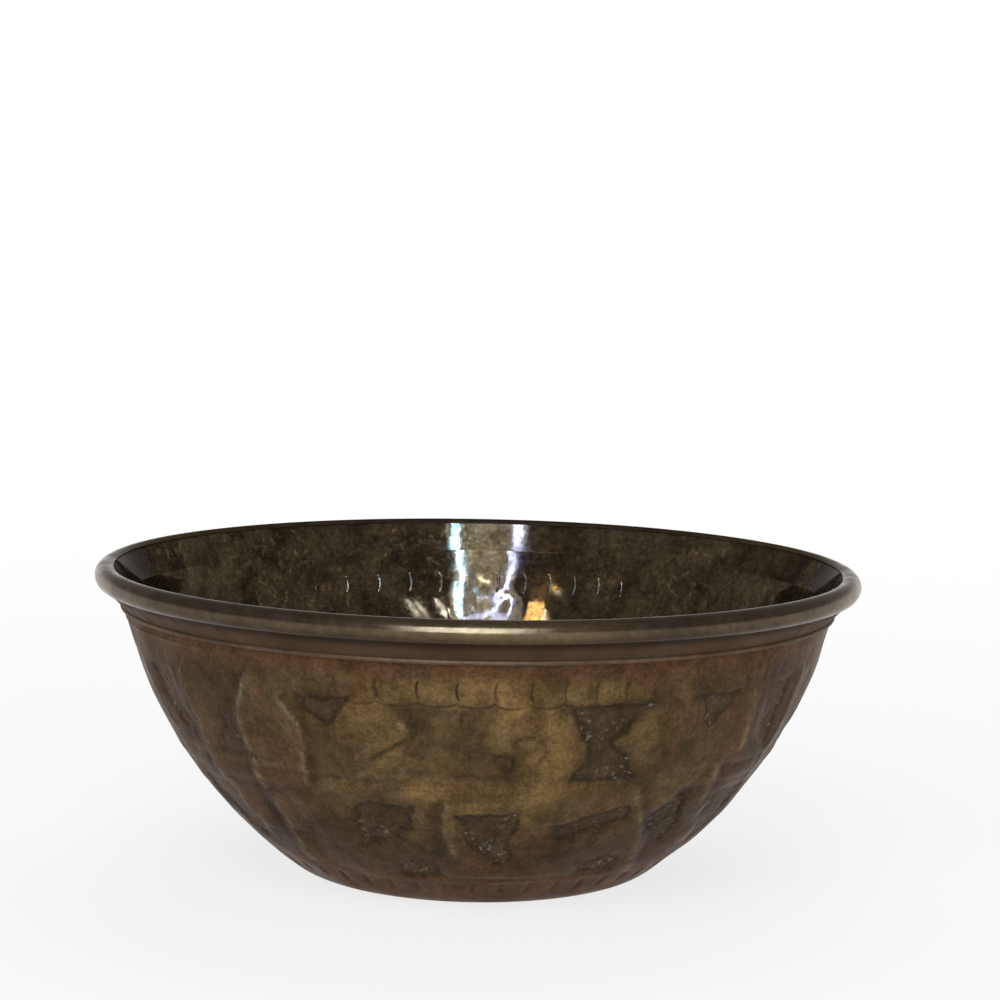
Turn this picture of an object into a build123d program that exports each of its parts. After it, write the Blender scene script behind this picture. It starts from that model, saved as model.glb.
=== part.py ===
# Offering bowl: a raised and chased sheet bowl whose edge is closed by a rolled rim moulding over a wire.
# Millimetres. The bowl is round about Z, +Z is up, and the origin is the centre of the flat base.
# Section sketches are drawn as (radius, height) and revolved about Z.
import os
from math import asin, atan2, cos, degrees, radians, sin, sqrt

from build123d import *

# Overall sizes
rim_diameter = 124.0  # over the outside of the bead
height = 50.0  # from the base to the top of the bead

# Raised sheet
sheet_thickness = 0.7
base_diameter = 49.0  # flat underside
base_corner_radius = 9.4  # outside bend from the base into the wall
rim_overhang = 4.5  # from the wall at the neck out to the bead
neck_drop = 6.2  # from the top of the bead down to the neck
neck_slope = 76.6  # degrees above horizontal where the wall reaches the neck
neck_bend_radius = 6.0  # where the wall turns outward into the flare
edge_tuck = 0.8  # how far the sheet's edge goes up past the middle of the bead

# Rim moulding and its wire
strip_thickness = 0.4
wire_diameter = 1.8
bead_room = 0.55  # how much larger the bead is rolled than the wire
lip_wrap = 22.0  # degrees that the strip turns down past the top, towards the inside
flange_height = 0.9  # turned-down edge that lies on the wall
flange_bend_radius = 0.8

# Solder in the wedge between the moulding's underside and the flare
solder_length = 1.5

# Chased grounds, sunk into the outside of the wall; drops are measured down the wall from the neck
motif_count = 18
motif_start = -92.0  # degrees round from +X, a little to the left of the front
chase_depth = 0.25
upper_drop = 10.3
upper_width = 11.5
upper_height = 5.8
lower_drop = 17.8
lower_width = 9.6
lower_height = 6.2
shield_drop = 32.0
shield_top_width = 10.0
shield_foot_width = 4.4
shield_height = 10.4

# Clearances
wire_clearance = 0.15
flange_clearance = 0.08
solder_clearance = 0.08
cut_clearance = 0.5  # how far the chasing cut stands out past the wall
cut_reach = 4.0  # how far its outlines are drawn out to either side of the wall


def heading(angle):
    """Unit vector in the section, at an angle in degrees above horizontal."""
    return Vector(cos(radians(angle)), sin(radians(angle)))


def touching_angle(start, centre, radius, side):
    """Angle of the line from start that touches a circle whose centre lies to its right (1) or left (-1)."""
    run = centre - start
    return degrees(atan2(run.Y, run.X) + side * asin(radius / run.length))


# Points and slopes that the pieces share; the wall's arc touches the base corner's bend and ends at the neck
base_radius = base_diameter / 2
rim_radius = rim_diameter / 2
wire_radius = wire_diameter / 2
bead_radius = wire_radius + bead_room + strip_thickness

neck = Vector(rim_radius - rim_overhang, height - neck_drop)
corner_centre = Vector(base_radius, base_corner_radius)
corner_to_neck = neck - corner_centre
inward = heading(neck_slope + 90)
wall_radius = (base_corner_radius**2 - corner_to_neck.length**2) / (
    2 * (base_corner_radius + inward.dot(corner_to_neck))
)
wall_centre = neck + inward * wall_radius
wall_to_corner = corner_centre - wall_centre
base_corner_angle = 90 + degrees(atan2(wall_to_corner.Y, wall_to_corner.X))

bead_centre = Vector(rim_radius - bead_radius, height - bead_radius)
wire_centre = Vector(rim_radius - strip_thickness - wire_clearance - wire_radius, bead_centre.Y)
bend_centre = neck + heading(neck_slope - 90) * neck_bend_radius
flare_angle = touching_angle(bend_centre, wire_centre, wire_radius + wire_clearance - neck_bend_radius, 1)
flare_start = bend_centre + heading(flare_angle + 90) * neck_bend_radius
flare_length = (bead_centre - flare_start).dot(heading(flare_angle)) + edge_tuck

flange_top = neck + heading(neck_slope - 90) * (flange_clearance + strip_thickness)
underside_angle = touching_angle(flange_top, bead_centre, bead_radius, -1)
underside_length = sqrt((bead_centre - flange_top).length ** 2 - bead_radius**2)


def wall_plane(drop):
    """Plane on the outside of the wall, facing +X, with Y running up the wall."""
    out = heading(neck_slope - 90 - degrees(drop / wall_radius))
    spot = wall_centre + out * wall_radius
    return Plane(origin=(spot.X, 0, spot.Y), x_dir=(0, 1, 0), z_dir=(out.X, 0, out.Y))


# Chased grounds of one motif: outlines that reach a little way into the wall
with BuildPart() as chased_motif:
    with BuildSketch(wall_plane(upper_drop)):
        with BuildLine():
            Polyline(
                (-upper_width / 2, upper_height / 2),
                (0, -upper_height / 2),
                (upper_width / 2, upper_height / 2),
                close=True,
            )
        make_face()
    with BuildSketch(wall_plane(lower_drop)):
        with BuildLine():
            Polyline(
                (-lower_width / 2, -lower_height / 2),
                (lower_width / 2, -lower_height / 2),
                (0, lower_height / 2),
                close=True,
            )
        make_face()
    with BuildSketch(wall_plane(shield_drop)):
        with BuildLine():
            Polyline(
                (-shield_top_width / 2, shield_height / 2),
                (-shield_foot_width / 2, -shield_height / 2),
                (shield_foot_width / 2, -shield_height / 2),
                (shield_top_width / 2, shield_height / 2),
                close=True,
            )
        make_face()
    extrude(amount=cut_reach, both=True)
    with BuildSketch(Plane.XZ):
        with BuildLine():
            CenterArc(
                wall_centre,
                wall_radius - chase_depth,
                base_corner_angle - 90,
                neck_slope - base_corner_angle,
            )
            offset(amount=chase_depth + cut_clearance, side=Side.RIGHT)
        make_face()
    revolve(axis=Axis.Z, mode=Mode.INTERSECT)

# Raised sheet: base, corner, wall, neck and flare, with the grounds sunk into the wall
with BuildPart() as bowl_shell:
    with BuildSketch(Plane.XZ):
        with BuildLine():
            base = Line((0, 0), (base_radius, 0))
            corner = JernArc(base @ 1, base % 1, base_corner_radius, base_corner_angle)
            wall = TangentArc(corner @ 1, neck, tangent=corner % 1)
            bend = JernArc(wall @ 1, wall % 1, neck_bend_radius, flare_angle - neck_slope)
            flare = Line(bend @ 1, bend @ 1 + (bend % 1) * flare_length)
            offset(amount=sheet_thickness, side=Side.LEFT)
        make_face()
    revolve(axis=Axis.Z)
    with PolarLocations(0, motif_count, start_angle=motif_start):
        add(chased_motif.part, mode=Mode.SUBTRACT)
bowl_shell.part.label = "bowl_shell"

# Rim moulding: flange, sloping underside and bead, rolled from one strip
with BuildPart() as rim_moulding:
    with BuildSketch(Plane.XZ):
        with BuildLine():
            flange = Line(flange_top - heading(neck_slope) * flange_height, flange_top)
            underside = Line(flange @ 1, flange_top + heading(underside_angle) * underside_length)
            bead = JernArc(underside @ 1, underside % 1, bead_radius, 180 + lip_wrap - underside_angle)
            fillet(underside.vertices().sort_by(Axis.Y)[0], radius=flange_bend_radius)
            offset(amount=strip_thickness, side=Side.LEFT)
        make_face()
    revolve(axis=Axis.Z)
rim_moulding.part.label = "rim_moulding"

# Wire that the bead is closed over
with BuildPart() as rim_wire:
    with BuildSketch(Plane.XZ):
        with Locations(wire_centre):
            Circle(wire_radius)
    revolve(axis=Axis.Z)
rim_wire.part.label = "rim_wire"

# Ring of solder between the flare and the moulding's underside
flare_side = flare_start + heading(flare_angle - 90) * solder_clearance
strip_side = (
    flange_top
    + heading(underside_angle + 90) * (strip_thickness + solder_clearance)
    + heading(underside_angle) * (flare_start - neck).length
)
with BuildPart() as solder_seam:
    with BuildSketch(Plane.XZ):
        with BuildLine():
            Polyline(
                flare_side,
                strip_side,
                strip_side + heading(underside_angle) * solder_length,
                flare_side + heading(flare_angle) * solder_length,
                close=True,
            )
        make_face()
    revolve(axis=Axis.Z)
solder_seam.part.label = "solder_seam"

os.makedirs("parts", exist_ok=True)
export_step(bowl_shell.part, "parts/bowl_shell.step")
export_step(rim_moulding.part, "parts/rim_moulding.step")
export_step(rim_wire.part, "parts/rim_wire.step")
export_step(solder_seam.part, "parts/solder_seam.step")
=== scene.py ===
"""Offering bowl: the looks of a raised and chased brass bowl with a rolled rim, on its fixed frame."""

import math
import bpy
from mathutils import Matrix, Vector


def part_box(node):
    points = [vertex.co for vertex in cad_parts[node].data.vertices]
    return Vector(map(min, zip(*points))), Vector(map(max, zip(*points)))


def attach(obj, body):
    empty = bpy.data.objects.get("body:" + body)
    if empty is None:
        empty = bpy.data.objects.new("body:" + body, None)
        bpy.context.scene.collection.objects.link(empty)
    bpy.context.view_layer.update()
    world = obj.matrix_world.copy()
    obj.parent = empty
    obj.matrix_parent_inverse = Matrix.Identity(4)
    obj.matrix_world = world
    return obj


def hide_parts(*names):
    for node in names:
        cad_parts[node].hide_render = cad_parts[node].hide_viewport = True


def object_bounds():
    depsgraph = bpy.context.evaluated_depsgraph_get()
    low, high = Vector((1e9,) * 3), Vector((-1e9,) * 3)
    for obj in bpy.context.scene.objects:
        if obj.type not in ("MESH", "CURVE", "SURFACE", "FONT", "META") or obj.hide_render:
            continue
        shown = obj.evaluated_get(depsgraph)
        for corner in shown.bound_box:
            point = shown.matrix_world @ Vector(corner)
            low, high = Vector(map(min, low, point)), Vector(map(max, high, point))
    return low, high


bl_info = {
    "name": "Offering Bowl",
    "version": (1, 0, 0),
    "blender": (4, 5, 0),
    "location": "View3D > Sidebar > Offering Bowl",
    "description": "Models a raised, chased and tarnished brass bowl with a rolled rim",
    "category": "Add Mesh",
}

import bpy
import numpy as np
from bpy.props import FloatProperty, FloatVectorProperty, IntProperty, PointerProperty
from mathutils import Matrix, Vector

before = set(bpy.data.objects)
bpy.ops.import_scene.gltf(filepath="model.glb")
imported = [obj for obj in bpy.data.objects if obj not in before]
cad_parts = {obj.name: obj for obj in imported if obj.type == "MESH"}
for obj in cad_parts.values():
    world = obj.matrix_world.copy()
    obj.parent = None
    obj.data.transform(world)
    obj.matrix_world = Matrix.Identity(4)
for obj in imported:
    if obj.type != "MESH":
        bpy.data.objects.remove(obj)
cad_low, cad_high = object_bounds()
sheet_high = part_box("bowl_shell")[1]

MM = 0.001


def length(name, default, description):
    """A size in metres."""
    return FloatProperty(name=name, description=description, default=default, unit="LENGTH", precision=5)


def angle(name, default, description):
    """An angle, given here in degrees."""
    return FloatProperty(
        name=name, description=description, default=math.radians(default), subtype="ANGLE"
    )


def colour(name, default, description):
    """A finish's colour, linear."""
    return FloatVectorProperty(
        name=name, description=description, default=default, size=3, subtype="COLOR", min=0, max=1
    )


class SheetSizes(bpy.types.PropertyGroup):
    """Section of the raised sheet."""

    rim_radius: length("Rim radius", cad_high.x, "From the axis to the outside of the bead")
    height: length("Height", cad_high.z, "From the base to the top of the bead")
    edge_height: length("Edge height", sheet_high.z, "From the base to the top of the sheet")
    thickness: length("Sheet thickness", 0.7 * MM, "Thickness of the raised sheet")
    base_radius: length("Base radius", 24.5 * MM, "Flat underside")
    corner_radius: length("Corner radius", 9.4 * MM, "Outside bend from the base into the wall")
    rim_overhang: length("Rim overhang", 4.5 * MM, "From the wall at the neck out to the bead")
    neck_drop: length("Neck drop", 6.2 * MM, "From the top of the bead down to the neck")
    neck_slope: angle("Neck slope", 76.6, "Slope of the wall where it reaches the neck")
    bend_radius: length("Bend radius", 6.0 * MM, "Where the wall turns outward into the flare")
    inner_bend: length("Inner bend", 0.1 * MM, "The same bend on the inside of the sheet")
    flare_slope: angle("Flare slope", 65.0, "Slope of the flare under the rim")
    turns: IntProperty(name="Turns", description="Faces round the outside", default=640)


class RimSizes(bpy.types.PropertyGroup):
    """Section of the rolled rim."""

    strip: length("Strip", 0.4 * MM, "Thickness of the rim's strip")
    bead_radius: length("Bead radius", 1.85 * MM, "Outside of the bead")
    lip_wrap: angle("Lip wrap", 38.0, "How far the strip turns down past the top, over the sheet's edge")
    tuck: angle("Tuck", 26.0, "How far the bead turns in under itself")
    cove: length("Cove", 0.12 * MM, "How far the underside is hollowed")
    flange_height: length("Flange height", 0.9 * MM, "Turned-down edge that lies on the wall")
    flange_bend: length("Flange bend", 0.8 * MM, "Bend between the underside and the flange")
    ridge: length("Ridge", 0.06 * MM, "How far the flange is rounded out")
    gap: length("Gap", 0.08 * MM, "Between the flange and the wall")
    turns: IntProperty(name="Turns", description="Faces round the rim", default=360)


class ChasingSizes(bpy.types.PropertyGroup):
    """Chased and punched pattern of the wall; drops are measured down the wall from the neck."""

    depth: length("Ground depth", 0.32 * MM, "How far the punched grounds are sunk")
    swell: length("Swell", 0.2 * MM, "How far the fields stand up away from the grounds")
    line_depth: length("Line depth", 0.26 * MM, "Depth of a chased line")
    crest: length("Crest height", 0.28 * MM, "Height of the ridges between the fields")
    unevenness: length("Unevenness", 0.12 * MM, "Hand-hammered unevenness of the wall")
    stipple: length("Stipple", 0.09 * MM, "Depth of the matting punch in the grounds")
    lappets: IntProperty(name="Lappets", description="Tongues in the border", default=66)


class FinishColours(bpy.types.PropertyGroup):
    """Colours of the tarnished metal."""

    olive: colour("Olive", (0.053, 0.039, 0.018), "Green-brown tarnish of the wall")
    umber: colour("Umber", (0.049, 0.034, 0.018), "Red-brown tarnish of the wall")
    gold: colour("Gold", (0.202, 0.124, 0.047), "Rubbed brass on the raised fields")
    verdigris: colour("Verdigris", (0.088, 0.074, 0.038), "Greenish tarnish on the rubbed brass")
    copper: colour("Copper", (0.112, 0.052, 0.024), "Red tarnish under the rim and by the base")
    # Pale is partly a painted highlight along the crests and above the rings' grooves
    pale: colour("Pale", (0.300, 0.230, 0.150), "Worn metal along the crests")
    # Bare specks, made pale as painted glints in the stipple
    silver_and_glint: colour("Silver", (0.230, 0.205, 0.165), "Bare specks in the punched grounds")
    ground: colour("Ground", (0.064, 0.043, 0.023), "Dirt in the punched grounds")
    # Also used for painted shade at the grounds' edges, in some lines and right under the bead
    dirt_and_shade: colour("Dirt", (0.029, 0.018, 0.011), "Dirt in lines and corners")
    well: colour("Well", (0.078, 0.058, 0.032), "Polished inside of the bowl")
    rim: colour("Rim", (0.096, 0.070, 0.044), "Tarnished brass of the rim")
    # On the rim this lighter brass is a painted sheen, brightest at the middle of each third
    burnish_and_sheen: colour("Burnish", (0.150, 0.106, 0.056), "Brass of the rim where it is handled")
    # Reddened brass, made lighter as a painted highlight on the flange
    blush_and_highlight: colour("Blush", (0.140, 0.083, 0.050), "Reddened brass on the lower edge of the rim")
    # A painted shade for the rim's underside and flange
    grime: colour("Grime", (0.100, 0.061, 0.035), "Dirt under the rim")
    floor: colour("Floor", (0.60, 0.60, 0.60), "Pale studio floor")


class StageSizes(bpy.types.PropertyGroup):
    """Camera and lights."""

    distance: length("Camera distance", 480.0 * MM, "From the axis of the bowl back to the camera")
    eye: length("Camera height", 115.2 * MM, "Height of the camera over the floor")
    pitch: angle("Pitch", 6.51, "How far the camera looks down")
    yaw: angle("Yaw", -0.39, "How far the camera turns to the left")
    roll: angle("Roll", 1.1, "How far the camera leans")
    lens: FloatProperty(name="Lens", description="Focal length", default=107.0, subtype="DISTANCE_CAMERA")
    floor: length("Floor size", 8.0, "Side of the studio floor")


class OfferingBowlSettings(bpy.types.PropertyGroup):
    """All that a user would change."""

    sheet: PointerProperty(type=SheetSizes)
    rim: PointerProperty(type=RimSizes)
    chasing: PointerProperty(type=ChasingSizes)
    finish: PointerProperty(type=FinishColours)
    stage: PointerProperty(type=StageSizes)


def heading(turn):
    """Unit vector in the section, as radius and height."""
    return Vector((math.cos(turn), math.sin(turn)))


class WallSection:
    """Centres and slopes of the arcs that make the wall's outside."""

    def __init__(self, sheet):
        self.neck = Vector((sheet.rim_radius - sheet.rim_overhang, sheet.height - sheet.neck_drop))
        self.corner_centre = Vector((sheet.base_radius, sheet.corner_radius))
        to_neck = self.neck - self.corner_centre
        inward = heading(sheet.neck_slope + math.pi / 2)
        self.radius = (sheet.corner_radius**2 - to_neck.length_squared) / (
            2 * (sheet.corner_radius + inward.dot(to_neck))
        )
        self.centre = self.neck + inward * self.radius
        to_corner = self.corner_centre - self.centre
        self.low = math.atan2(to_corner.y, to_corner.x)
        self.high = sheet.neck_slope - math.pi / 2
        self.bend_centre = self.neck + heading(self.high) * sheet.bend_radius
        self.flare_start = self.bend_centre + heading(sheet.flare_slope + math.pi / 2) * sheet.bend_radius

    def drop(self, radius, height):
        """Distance down the wall from the neck, for points on or inside it."""
        return self.radius * (self.high - np.arctan2(height - self.centre.y, radius - self.centre.x))


def arc(centre, radius, start, end, steps):
    """Points of an arc in the section, without its first one."""
    return [centre + heading(start + (end - start) * (i + 1) / steps) * radius for i in range(steps)]


def skin_section(sheet, inset, bend, base, corner, wall, flare):
    """Section of one side of the sheet, from the middle of its base to its edge, in that many steps."""
    section = WallSection(sheet)
    out = math.pi / 2
    rise = Vector((0, inset))
    points = [Vector((sheet.base_radius * i / base, 0)) + rise for i in range(base + 1)]
    points += arc(section.corner_centre, sheet.corner_radius - inset, -out, section.low, corner)
    points += arc(section.centre, section.radius - inset, section.low, section.high, wall)
    tighter = sheet.bend_radius + inset - bend
    bent = sheet.neck_slope - sheet.flare_slope
    points[-1] += heading(sheet.neck_slope) * tighter * math.tan(bent / 2)
    centre = points[-1] - heading(sheet.neck_slope + out) * bend
    points += arc(centre, bend, sheet.neck_slope + out, sheet.flare_slope + out, flare)
    reach = sheet.edge_height - sheet.thickness * math.cos(sheet.flare_slope) - section.flare_start.y
    edge = section.flare_start + heading(sheet.flare_slope) * reach / math.sin(sheet.flare_slope)
    run = edge + heading(sheet.flare_slope + out) * inset - points[-1]
    last = points[-1]
    points += [last + run * (i + 1) / flare for i in range(flare)]
    return points


def edit_all():
    """Edit mode, with the whole mesh selected."""
    bpy.ops.object.mode_set(mode="EDIT")
    bpy.ops.mesh.select_all(action="SELECT")


def end_edit():
    """Back to object mode."""
    bpy.ops.object.mode_set(mode="OBJECT")


def deselect_all():
    """Leaves nothing selected, because operators act on all that is."""
    bpy.ops.object.select_all(action="DESELECT")


def apply_modifier(piece, modifier):
    """Applies a modifier on the active piece."""
    bpy.context.view_layer.objects.active = piece
    bpy.ops.object.modifier_apply(modifier=modifier.name)


def spin_section(name, points, turns, closed=False):
    """Pulls a section out point by point from one vertex and spins it round the bowl's axis."""
    deselect_all()
    bpy.ops.mesh.primitive_plane_add(size=MM)
    skin = bpy.context.object
    skin.name = name
    skin.data.name = name
    edit_all()
    bpy.ops.mesh.select_mode(type="VERT")
    bpy.ops.mesh.merge(type="CENTER")
    bpy.ops.transform.translate(value=(points[0].x, 0, points[0].y))
    for before, after in zip(points, points[1:]):
        step = after - before
        bpy.ops.mesh.extrude_region_move(TRANSFORM_OT_translate={"value": (step.x, 0, step.y)})
    if closed:
        bpy.ops.mesh.select_all(action="SELECT")
        bpy.ops.mesh.edge_face_add()
        bpy.ops.mesh.delete(type="ONLY_FACE")
    end_edit()
    turn = skin.modifiers.new("turned", "SCREW")
    turn.steps = turn.render_steps = turns
    turn.use_merge_vertices = True
    apply_modifier(skin, turn)
    edit_all()
    bpy.ops.mesh.remove_doubles(threshold=0.001 * MM)
    bpy.ops.mesh.normals_make_consistent(inside=False)
    end_edit()
    return skin


def ramp(value, low, high):
    """Smooth step from 0 at low to 1 at high."""
    share = np.clip((value - low) / (high - low), 0, 1)
    return share * share * (3 - 2 * share)


def window(value, low, full, fall, end):
    """Smooth rise from 0 at low to 1 at full, and smooth fall back to 0 from fall to end."""
    return ramp(value, low, full) * (1 - ramp(value, fall, end))


def thirds(turn):
    """How near a direction in degrees is to the middle of its third, where hands have rubbed the wall and
    the rim has its painted sheen.
    """
    return 0.5 + 0.5 * np.cos(np.radians(len(TURNS) * (turn - WEAR_AND_SHEEN_TURN)))


def hump(distance, width):
    """Soft bump of height 1."""
    return np.exp(-((distance / width) ** 2))


def inside_outline(across, down, corners):
    """Distance inside an outline, negative outside it."""
    nearest = np.full(across.shape, np.inf)
    within = np.zeros(across.shape, bool)
    for (ax, ay), (bx, by) in zip(corners, corners[1:] + corners[:1]):
        run_x, run_y = bx - ax, by - ay
        share = ((across - ax) * run_x + (down - ay) * run_y) / (run_x**2 + run_y**2)
        share = np.clip(share, 0, 1)
        nearest = np.minimum(nearest, np.hypot(across - ax - share * run_x, down - ay - share * run_y))
        if run_y:
            level = (ay > down) != (by > down)
            within ^= level & (across < ax + (down - ay) * run_x / run_y)
    return np.where(within, nearest, -nearest)


# Outlines of the punched grounds, in millimetres across and down the wall
VEE = [(-3.8, 7.4), (5.2, 7.2), (0.8, 13.0)]
FOOT = [(-0.4, 14.4), (4.8, 20.4), (-4.6, 20.8)]
HOURGLASS = [(-6.8, 8.2), (7.6, 7.8), (1.5, 14.2), (6.9, 21.1), (-3.8, 21.5), (-2.3, 14.2)]
BROAD = [(-7.4, 8.3), (7.0, 8.3), (5.4, 14.4), (9.8, 20.6), (-8.3, 20.2), (-5.0, 12.4)]
PANEL = [(-3.6, 7.4), (3.8, 7.2), (4.2, 19.4), (0.4, 17.2)]
LEANING = [(-3.4, 26.9), (6.0, 26.8), (4.4, 31.5), (0.2, 35.4), (-4.6, 36.7)]
TALL = [(-5.1, 28.0), (4.9, 27.8), (3.9, 33.0), (3.9, 39.2), (1.6, 40.2), (-2.2, 35.0)]
SLANTED = [(-5.5, 31.0), (5.8, 26.9), (6.0, 29.6), (-4.4, 34.6)]
LEAF = [(-4.1, 30.2), (0.0, 24.9), (3.9, 33.0), (2.4, 37.6), (-1.5, 36.0)]
OVAL = [(-3.5, 44.0), (-2.9, 41.2), (0.0, 39.0), (2.8, 41.0), (3.5, 44.0)]

# Hammering: waves round the bowl, turn of each wave down the wall, its start and its size
HAMMER_WAVES = [(7, 0.31, 0.4, 1.0), (11, -0.22, 1.9, 0.9), (19, 0.47, 3.1, 0.6), (29, -0.63, 5.0, 0.45)]

# Border strokes, crowded on one side of each third: degrees to the first one, of
# crowding, to where it is most, and of bow; then millimetres down to their middle, and half their length
STROKE_START = 22.5
STROKE_CROWD = 3.5
STROKE_TURN = 15.0
STROKE_BOW = 0.35
STROKE_MIDDLE = 5.2
STROKE_HALF = 1.6

# Hem of the border's tongues: millimetres down to it, and how far a tongue hangs below that
HEM_DROP = 7.0
HEM_HANG = 0.9

# Where the border's dirt is full and where it ends: degrees from a stroke, millimetres from the hem
STROKE_EDGE = (0.07, 0.32)
HEM_EDGE = (0.08, 0.32)

# Millimetres down the wall at which a kind of work begins, is full, begins to end, and has ended
HAMMERED = (-2, 3, 46, 54)
RUBBED = (1.8, 4.5, 26, 38)
TONGUES = (2.0, 4.0, 6.2, 8.0)
FRIEZE = (5.5, 8.0, 43.0, 47.0)
TICKS = (45.6, 46.4, 48.4, 49.4)
RIM_LINE_TURNS = (30, 62, 100, 130)  # the same for the line under the rim, in degrees to the left

# Widths of the tools' marks, in millimetres
STROKE_WIDTH = 0.42
HEM_WIDTH = 0.34
CUT_WIDTH = 0.36
RING_WIDTH = 0.42
TICK_WIDTH = 0.4

# Grounds: millimetres that one reaches to either side, the drops that they lie between, how far out the
# distance from one is kept, and how far from it the field is at its highest
GROUND_REACH = 16
GROUND_DROPS = (3, 48)
FIELD_REACH = 4.0
FIELD_SWELL = 2.4

# Crests and cuts: millimetres that one reaches to either side, and the shifts that round its corners
LINE_REACH = 14
LINE_SHIFTS = (-2, -1, 0, 1, 2)

# Crests: width of the steep side, fall of the gentle side and of its painted shading, and height in the
# other thirds
CREST_STEEP = 0.75
CREST_FALL = 2.6
FACET_FALL = 3.2
CREST_COPY = 0.7

# Rings: millimetres down and depth of each, and of the raised band between the first two
RINGS = [(21.9, 0.7), (25.4, 0.35), (44.3, 0.7)]
BAND_DROP = 23.7
BAND_RISE = 0.16

TONGUE_PUFF = 0.12  # height of the border's tongues, in millimetres
TICK_PITCH = 7.5  # degrees

# The two sides, where the relief is flatter: the share that is gone, and degrees to and across them
SIDE_LOSS = 0.6
SIDE_TURN = 85
SIDE_WIDTH = 16

ALL = slice(None)  # every point of the wall
NOISE_SPAN = (0.3, 0.7)  # where nearly all of a noise's values lie

# One third of the pattern, which goes three times round the wall
TURNS = (0.0, 120.0, 240.0)
WEAR_AND_SHEEN_TURN = 3.0  # degrees to the middle of the first third

# Grounds: degrees round from the front, the outline, and how deep and dark the ground is
GROUNDS = [
    (-45.5, FOOT, 0.55),
    (-25.2, VEE, 1.0),
    (-4.3, BROAD, 0.2),
    (21.0, HOURGLASS, 0.9),
    (40.6, VEE, 1.0),
    (57.5, PANEL, 0.9),
    (-40.0, LEAF, 0.4),
    (-18.5, LEANING, 0.9),
    (-12.5, OVAL, 0.75),
    (2.4, TALL, 0.95),
    (23.0, SLANTED, 0.8),
    (31.5, OVAL, 0.9),
    (42.0, LEAF, 0.9),
    (60.0, TALL, 0.7),
]

# Crests: degrees round, the line in millimetres across and down, height, and the side that is gentle
CRESTS = [
    (-54.5, [(0.5, 6.0), (-0.6, 10.0), (0.7, 14.0), (-0.3, 23.0), (-0.4, 31.0), (4.0, 36.5)], 0.9, 1),
    (-42.5, [(4.4, 5), (1.9, 9.5), (0, 14), (0.6, 17), (0, 27), (0.2, 34.5), (-0.5, 43)], 1.1, 1),
    (-31.5, [(-1.0, 7.2), (3.0, 13.2), (1.8, 18.0), (0.6, 24.0)], 0.8, -1),
    (-12.0, [(-1.9, 7.7), (2.3, 12.8)], 0.7, -1),
    (-5.6, [(0.4, 25.0), (-0.6, 30.5), (1.0, 38.5)], 0.8, 1),
    (23.7, [(2.6, 28.6), (-2.5, 31.0)], 0.8, -1),
    (36.0, [(-5.1, 23.0), (1.4, 35.5), (4.2, 45.0)], 1.0, -1),
    (38.7, [(2.2, 25.0), (-2.2, 29.0)], 0.8, -1),
    (49.0, [(-0.8, 20.0), (0.8, 30.0)], 0.9, -1),
    (51.5, [(-1.4, 7.7), (1.3, 19.0)], 1.0, -1),
]

# Cuts: degrees round, the line in millimetres across and down, and depth
CUTS = [
    (-38.0, [(1.9, 1.8), (-1.9, 6.8)], 0.8),
    (-14.0, [(4.1, 13.2), (-4.5, 18.3)], 1.1),
    (-12.0, [(-1.2, 7.6), (3.0, 12.8)], 0.6),
    (-13.0, [(4.4, 35.5), (1.6, 42.0)], 0.6),
    (-2.6, [(0.4, 9.0), (-0.6, 19.0)], 0.5),
    (7.0, [(0.6, 34.0), (2.4, 41.0)], 0.6),
    (32.5, [(-0.8, 14.5), (2.4, 20.5)], 0.7),
    (44.3, [(-2.0, 25.3), (2.2, 33.5)], 1.0),
]

# Curls: degrees round, millimetres down, radius and depth
CURLS = [(4.7, 17.8, 1.5, 1.0), (8.6, 15.4, 2.6, 0.8), (-20.5, 15.2, 1.6, 0.5), (30.0, 14.4, 1.7, 0.4)]


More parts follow.
